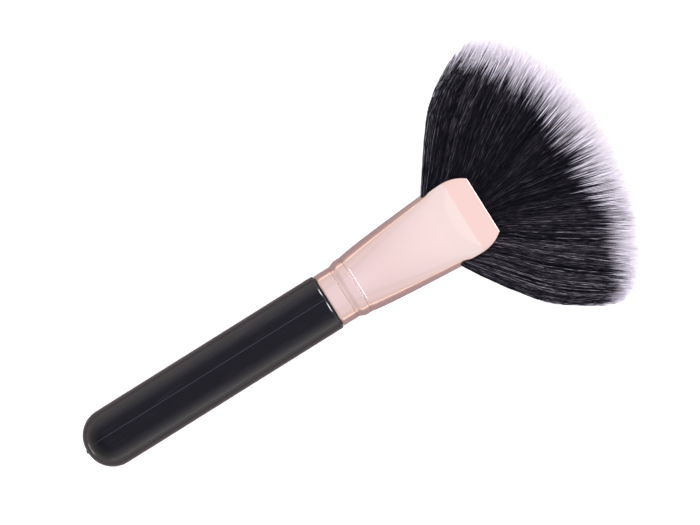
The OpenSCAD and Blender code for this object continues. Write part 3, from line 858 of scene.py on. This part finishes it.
world = bpy.data.worlds.new("studio")
bpy.context.scene.world = world
world.use_nodes = True
tree = world.node_tree
tree.nodes.clear()
direction = addNode(tree, "ShaderNodeTexCoord").outputs["Generated"]
towards = addNode(tree, "ShaderNodeSeparateXYZ", {"Vector": direction}).outputs
height = addNode(tree, "ShaderNodeMapRange", {"Value": towards["Z"]}, From_Min=-1.0).outputs["Result"]
ramp = addNode(tree, "ShaderNodeValToRGB", {"Fac": height})
elements = ramp.color_ramp.elements
while len(elements) < len(tent):
    elements.new(1.0)
for element, (z, colour) in zip(elements, tent):
    element.position = (z + 1) / 2
    element.color = (*colour, 1)
behind = addNode(tree, "ShaderNodeMapRange", {"Value": towards["X"]}, To_Max=studio["behind"],
                 From_Min=studio["behindX"][0], From_Max=studio["behindX"][1]).outputs["Result"]
above = addNode(tree, "ShaderNodeMapRange", {"Value": towards["Z"]},
                From_Min=studio["aboveZ"][0], From_Max=studio["aboveZ"][1]).outputs["Result"]
darker = addNode(tree, "ShaderNodeMath", {0: behind, 1: above}, operation="MULTIPLY")
strength = addNode(tree, "ShaderNodeMath", {1: darker.outputs["Value"]}, {0: 1.0},
                   operation="SUBTRACT")
background = addNode(tree, "ShaderNodeBackground",
                     {"Color": ramp.outputs["Color"], "Strength": strength.outputs["Value"]})
addNode(tree, "ShaderNodeOutputWorld", {"Surface": background.outputs["Background"]})


def lightOnly(lamp, objects, state="INCLUDE"):
    # keeps a lamp to some objects, or off them
    group = bpy.data.collections.new(lamp.name + "Receivers")
    for obj in objects:
        group.objects.link(obj)
    for item in group.collection_objects:
        item.light_linking.link_state = state
    lamp.light_linking.receiver_collection = group


def hangLamp(light, azimuth, elevation):
    # puts a light in its direction from the shoulder, in degrees, and turns it to face the shoulder
    lamp = addObject(light.name, light)
    a, e = math.radians(azimuth), math.radians(elevation)
    away = Vector((math.cos(e) * math.cos(a), math.cos(e) * math.sin(a), math.sin(e)))
    lamp.location = fromShoulder(0, 0, 0) + away * studio["lampDistance"]
    lamp.rotation_euler = away.to_track_quat("Z", "Y").to_euler()
    return lamp


def softBox(name, azimuth, elevation, size, brightness, colour):
    light = bpy.data.lights.new(name, "AREA")
    light.color = colour
    light.shape = "RECTANGLE"
    light.size, light.size_y = size
    light.energy = brightness * math.pi * size[0] * size[1]
    return hangLamp(light, azimuth, elevation)


def roundSource(name, halfAngle, brightness, azimuth, elevation):
    # a source far away, seen over the given half angle in degrees
    light = bpy.data.lights.new(name, "SUN")
    light.angle = math.radians(2 * halfAngle)
    light.energy = brightness * math.pi * math.sin(math.radians(halfAngle)) ** 2
    return hangLamp(light, azimuth, elevation)


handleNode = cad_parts["handle"]
white, warm = (1.0, 1.0, 1.0), (1.0, 0.8, 0.65)

# the tent's brighter top and its mouth: round sources one in another, kept off the glossy handle
# how many, the least half angle and its step in degrees, the brightness of each, elevation
for name, number, least, step, brightness, elevation in (
        ("overhead", 10, 42, 5, 0.078, 90),
        ("mouthSide", 4, 12, 6, 0.018, 62)):
    for i in range(number):
        lightOnly(roundSource("%s%d" % (name, i), least + step * i, brightness, 0, elevation),
                  [handleNode], "EXCLUDE")

# half angle, brightness, azimuth, elevation and what is lit
for name, halfAngle, brightness, azimuth, elevation, lit in (
        ("floorFill", 60, 2.2, 0, 90, [floor]),
        ("fanFill", 50, 2.25, 0, 90, fan),
        ("fanKey", 12, 15, 110, 48, fan)):
    lightOnly(roundSource(name, halfAngle, brightness, azimuth, elevation), lit)

# azimuth, elevation, size in m, brightness, colour and what is lit
for name, azimuth, elevation, size, brightness, colour, lit in (
        ("rimBoxFar", 48, 29, (0.42, 0.45), 26, white, handleNode),
        ("rimBoxNear", -25, 46, (0.6, 0.45), 26, white, handleNode),
        ("streakBox", -90, 5, (1.6, 0.4), 0.2, white, handleNode),
        ("streakLine", -90, -3.5, (1.6, 0.05), 1.2, white, handleNode),
        ("buttBox", 180, -14.5, (0.4, 0.06), 4.5, white, handleNode),
        ("edgeBox", 0, 10, (1.5, 0.26), 8, white, ferrule),
        ("warmEdge", 97, -18, (0.6, 0.12), 1.0, warm, ferrule),
        ("warmEdge", -97, -18, (0.6, 0.12), 1.0, warm, ferrule)):
    lightOnly(softBox(name, azimuth, elevation, size, brightness, colour), [lit])

camera = bpy.data.cameras.new("camera")
camera.lens = studio["lens"]
camera.sensor_width = studio["sensor"]
camera.clip_start = 0.01
eye = addObject("camera", camera)
distance = studio["frameWidth"] * mm * studio["lens"] / studio["sensor"]
eye.location = (studio["aimX"] * mm, studio["aimY"] * mm, axisZ + distance)
eye.rotation_euler = (0, 0, -math.radians(studio["turn"]))
bpy.context.scene.camera = eye
bpy.context.scene.view_settings.view_transform = "Standard"
print("stage done")
